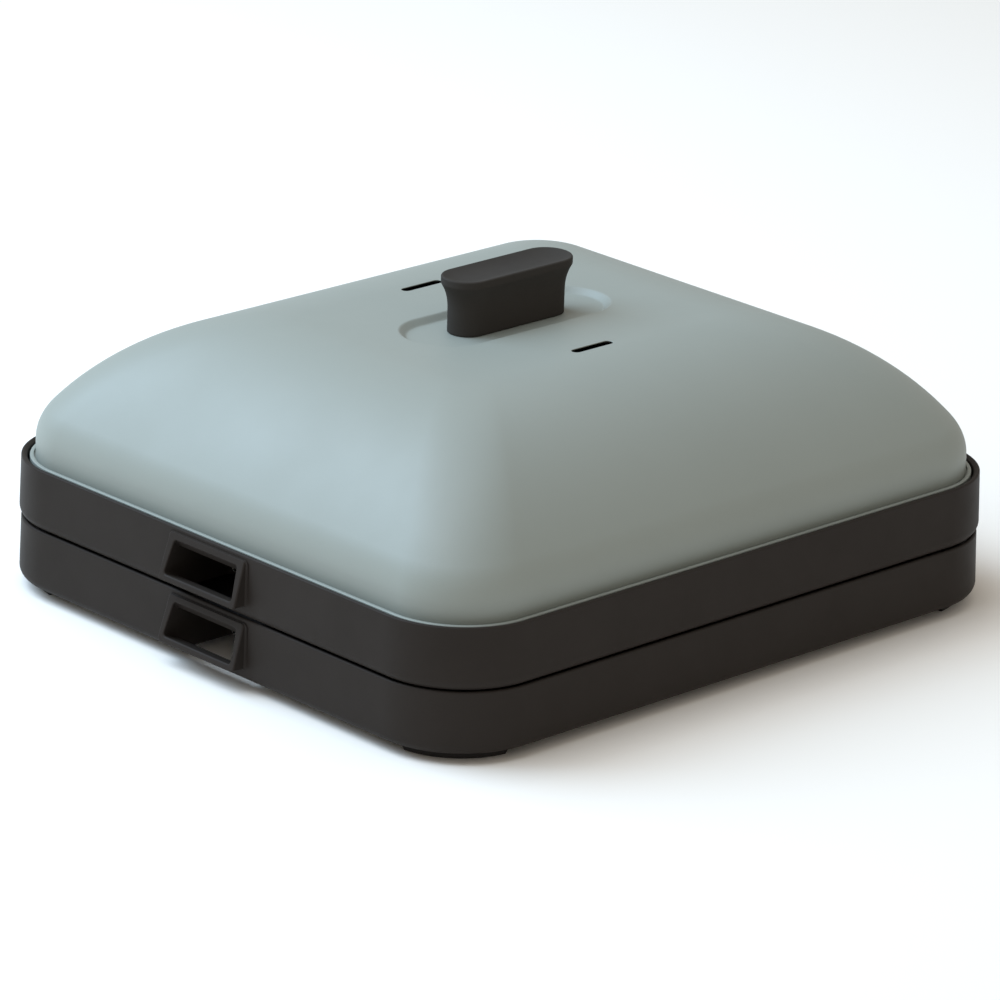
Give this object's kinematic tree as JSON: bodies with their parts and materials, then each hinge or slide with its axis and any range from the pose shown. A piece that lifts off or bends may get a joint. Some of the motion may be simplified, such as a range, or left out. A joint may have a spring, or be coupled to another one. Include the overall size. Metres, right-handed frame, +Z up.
{
  "type": "donut maker",
  "caption": "Stacked two-deck electric donut maker with ring-mould baking plates, side inlet hoods and a domed lift-off lid with a knob",
  "frame": {"origin": "centre of the bounding box, on the surface that the lower feet stand on", "axes": "+X along the knob and away from the inlet hoods, +Y towards the rear wall, +Z up"},
  "size_m": [0.3368, 0.3, 0.1458],
  "materials": {
    "charcoal_plastic": "fine spark-eroded texture, satin",
    "lid_paint": "pale blue-grey baked enamel, satin",
    "foot_rubber": "matte",
    "nonstick_casting": "dark non-stick coating on a casting",
    "element_sheath": "heat-tinted sheath",
    "shield_sheet": "mill finish sheet",
    "block_ceramic": "unglazed steatite",
    "bright_steel": "nickel-plated"
  },
  "bodies": {
    "lower_deck": {"lower_skirt": "charcoal_plastic", "lower_baking_plate": "nonstick_casting", "lower_heating_element": "element_sheath", "lower_heat_shield": "shield_sheet", "lower_terminal_block": "block_ceramic", "lower_probe_tube": "bright_steel", "lower_contact_pin_front": "bright_steel", "lower_contact_pin_rear": "bright_steel", "lower_element_clamp_left": "shield_sheet", "lower_element_clamp_right": "shield_sheet", "lower_foot_front_left": "foot_rubber", "lower_screw_front_left": "bright_steel", "lower_foot_front_right": "foot_rubber", "lower_screw_front_right": "bright_steel", "lower_foot_rear_right": "foot_rubber", "lower_screw_rear_right": "bright_steel", "lower_foot_rear_left": "foot_rubber", "lower_screw_rear_left": "bright_steel"},
    "upper_deck": {"upper_skirt": "charcoal_plastic", "upper_baking_plate": "nonstick_casting", "upper_heating_element": "element_sheath", "upper_heat_shield": "shield_sheet", "upper_terminal_block": "block_ceramic", "upper_probe_tube": "bright_steel", "upper_contact_pin_front": "bright_steel", "upper_contact_pin_rear": "bright_steel", "upper_element_clamp_left": "shield_sheet", "upper_element_clamp_right": "shield_sheet", "upper_foot_front_left": "foot_rubber", "upper_screw_front_left": "bright_steel", "upper_foot_front_right": "foot_rubber", "upper_screw_front_right": "bright_steel", "upper_foot_rear_right": "foot_rubber", "upper_screw_rear_right": "bright_steel", "upper_foot_rear_left": "foot_rubber", "upper_screw_rear_left": "bright_steel"},
    "lid": {"lid_shell": "lid_paint", "lid_knob": "charcoal_plastic", "lid_knob_washer_left": "shield_sheet", "lid_knob_washer_right": "shield_sheet", "lid_knob_screw_left": "bright_steel", "lid_knob_screw_right": "bright_steel"}
  },
  "joints": [
    {"name": "upper_deck_lift", "type": "slide", "parent": "lower_deck", "child": "upper_deck", "axis": [0, 0, 1], "range_m": [0, 0.08]},
    {"name": "lid_lift", "type": "slide", "parent": "upper_deck", "child": "lid", "axis": [0, 0, 1], "range_m": [0, 0.12]}
  ]
}
